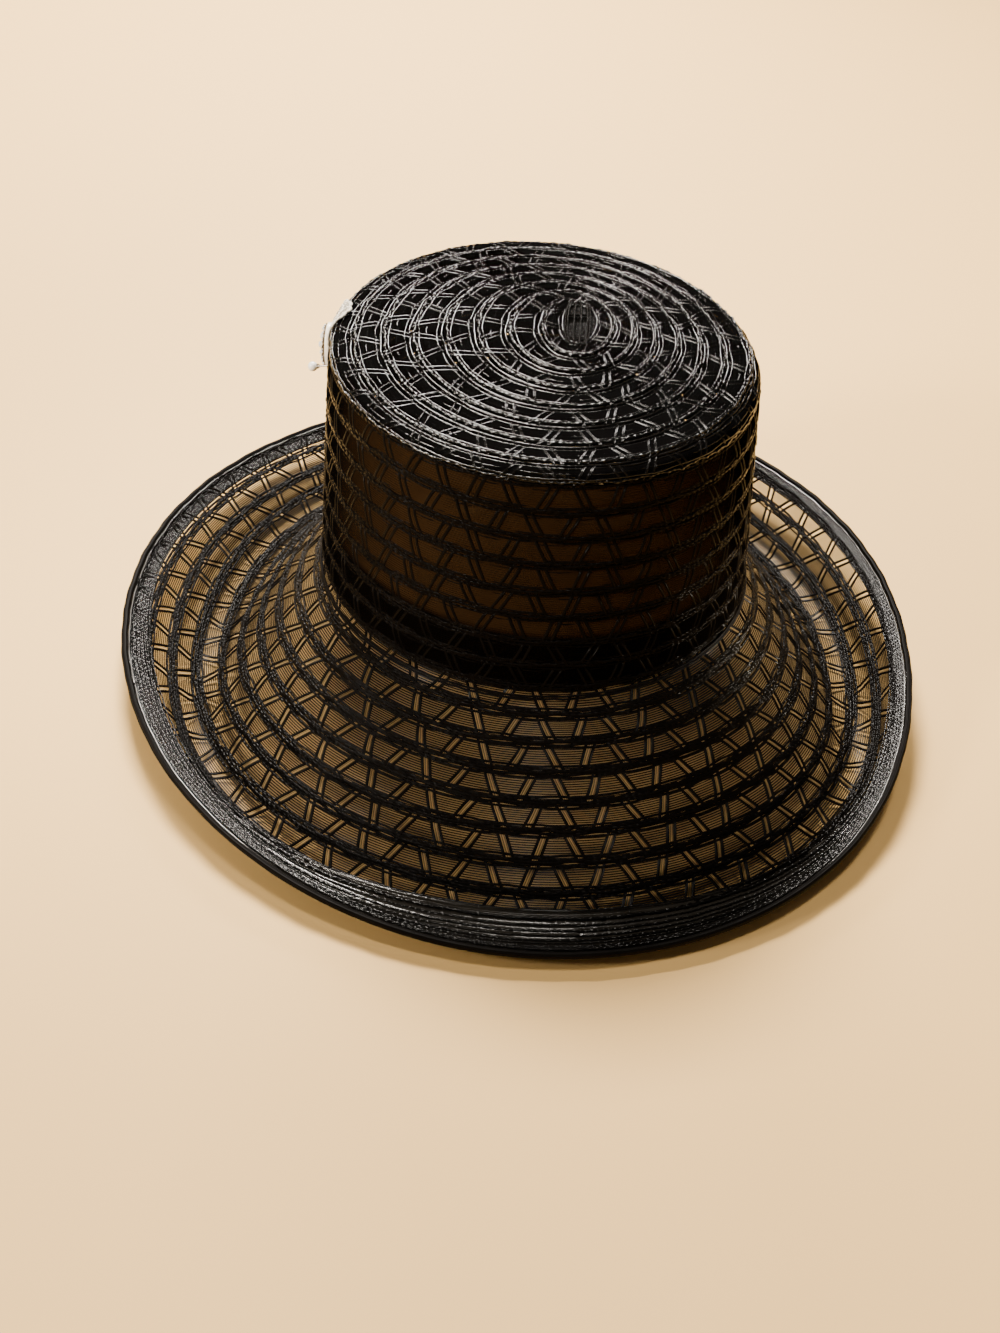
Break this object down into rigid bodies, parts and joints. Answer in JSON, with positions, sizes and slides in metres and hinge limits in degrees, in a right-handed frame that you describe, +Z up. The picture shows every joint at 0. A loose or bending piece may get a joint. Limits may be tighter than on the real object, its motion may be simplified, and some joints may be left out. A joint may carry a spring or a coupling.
{
  "type": "wide-brim hat",
  "caption": "Sheer black wide-brim hat of sewn lace braid, with a flat oval crown, an upturned brim, a stone brooch on a lace leaf and a pearl-headed pin.",
  "frame": {"origin": "on the surface that the hat rests on, below the middle of the outline of its brim", "axes": "+Z up through the crown, +Y towards the back of the hat as the picture shows it, +X to the right of the picture"},
  "size_m": [0.328, 0.3657, 0.1442],
  "materials": {
    "braid": "glossy black synthetic straw braid, sheer between its sewn rows",
    "edge_cord": "glossy black wound cord",
    "band": "dull black ribbed ribbon",
    "lace": "ivory lace",
    "plate": "white enamel",
    "stones": "clear cut stones in silver settings",
    "pin": "dark steel",
    "pearl": "pearl lustre"
  },
  "bodies": {
    "root": {"crown_tip": "braid", "crown_side": "braid", "brim": "braid", "brim_upturn": "braid", "brim_edge": "edge_cord", "head_band": "band", "lace_leaf": "lace", "brooch_plate": "plate", "brooch_stones": "stones", "pin_stem": "pin", "pin_pearl": "pearl"}
  },
  "joints": []
}
